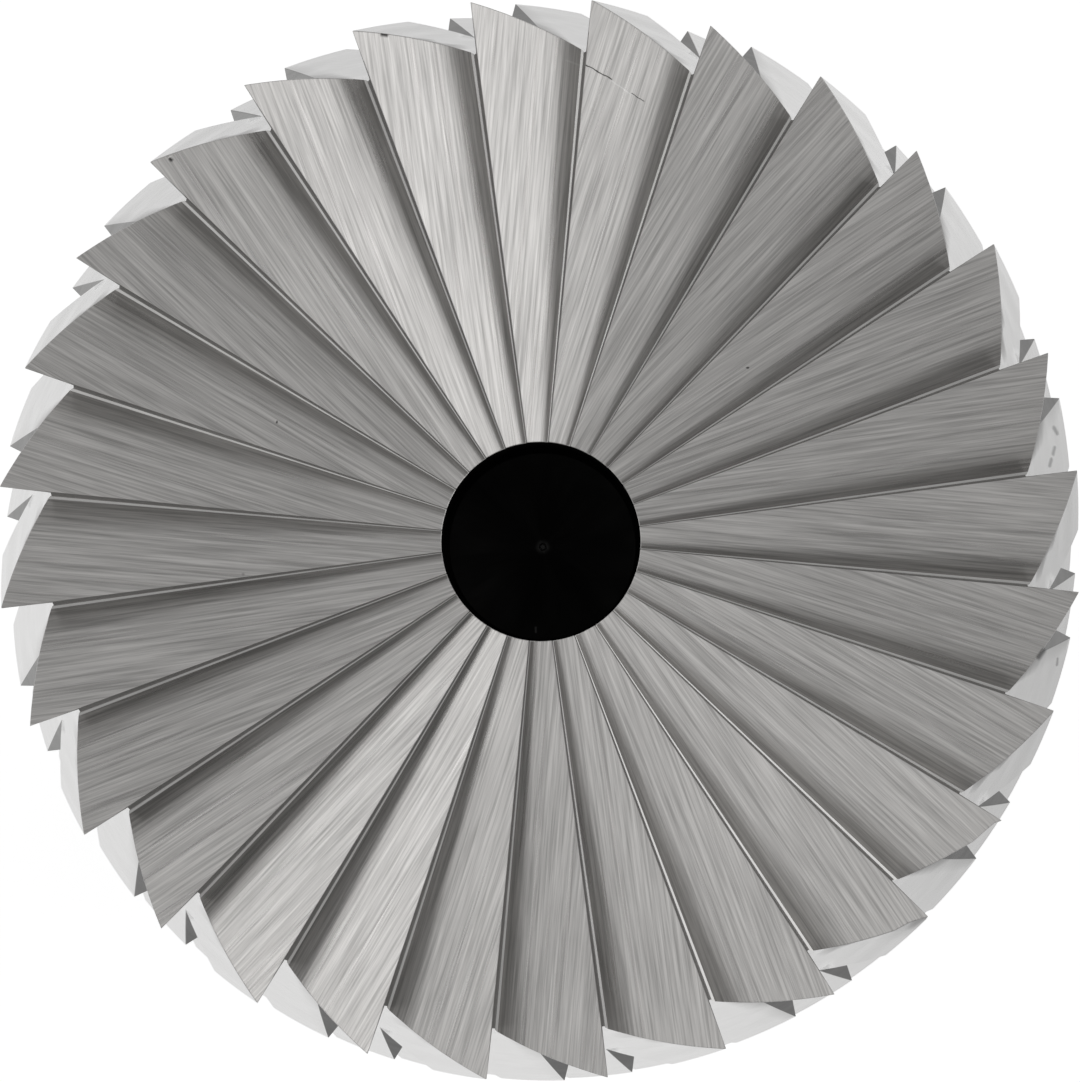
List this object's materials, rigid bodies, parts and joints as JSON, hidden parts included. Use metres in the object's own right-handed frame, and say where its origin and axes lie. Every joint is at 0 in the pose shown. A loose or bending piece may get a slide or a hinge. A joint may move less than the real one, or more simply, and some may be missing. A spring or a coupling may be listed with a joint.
{
  "type": "carbide burr",
  "caption": "Cylindrical rotary burr for metal: double-cut carbide head with cutting teeth on its end face, brazed onto a plain round steel shank for a collet.",
  "frame": {"origin": "centre of the shank's flat end face, on the tool's axis", "axes": "+Z along the tool's axis, from the shank's end to the toothed end face; +X and +Y are right and up in the picture, which looks straight down -Z onto the end face"},
  "size_m": [0.012, 0.012, 0.065],
  "materials": {
    "carbide": "ground",
    "braze": "satin",
    "shank_steel": "ground"
  },
  "bodies": {
    "root": {"carbide_head": "carbide", "braze_joint": "braze", "steel_shank": "shank_steel"}
  },
  "joints": []
}
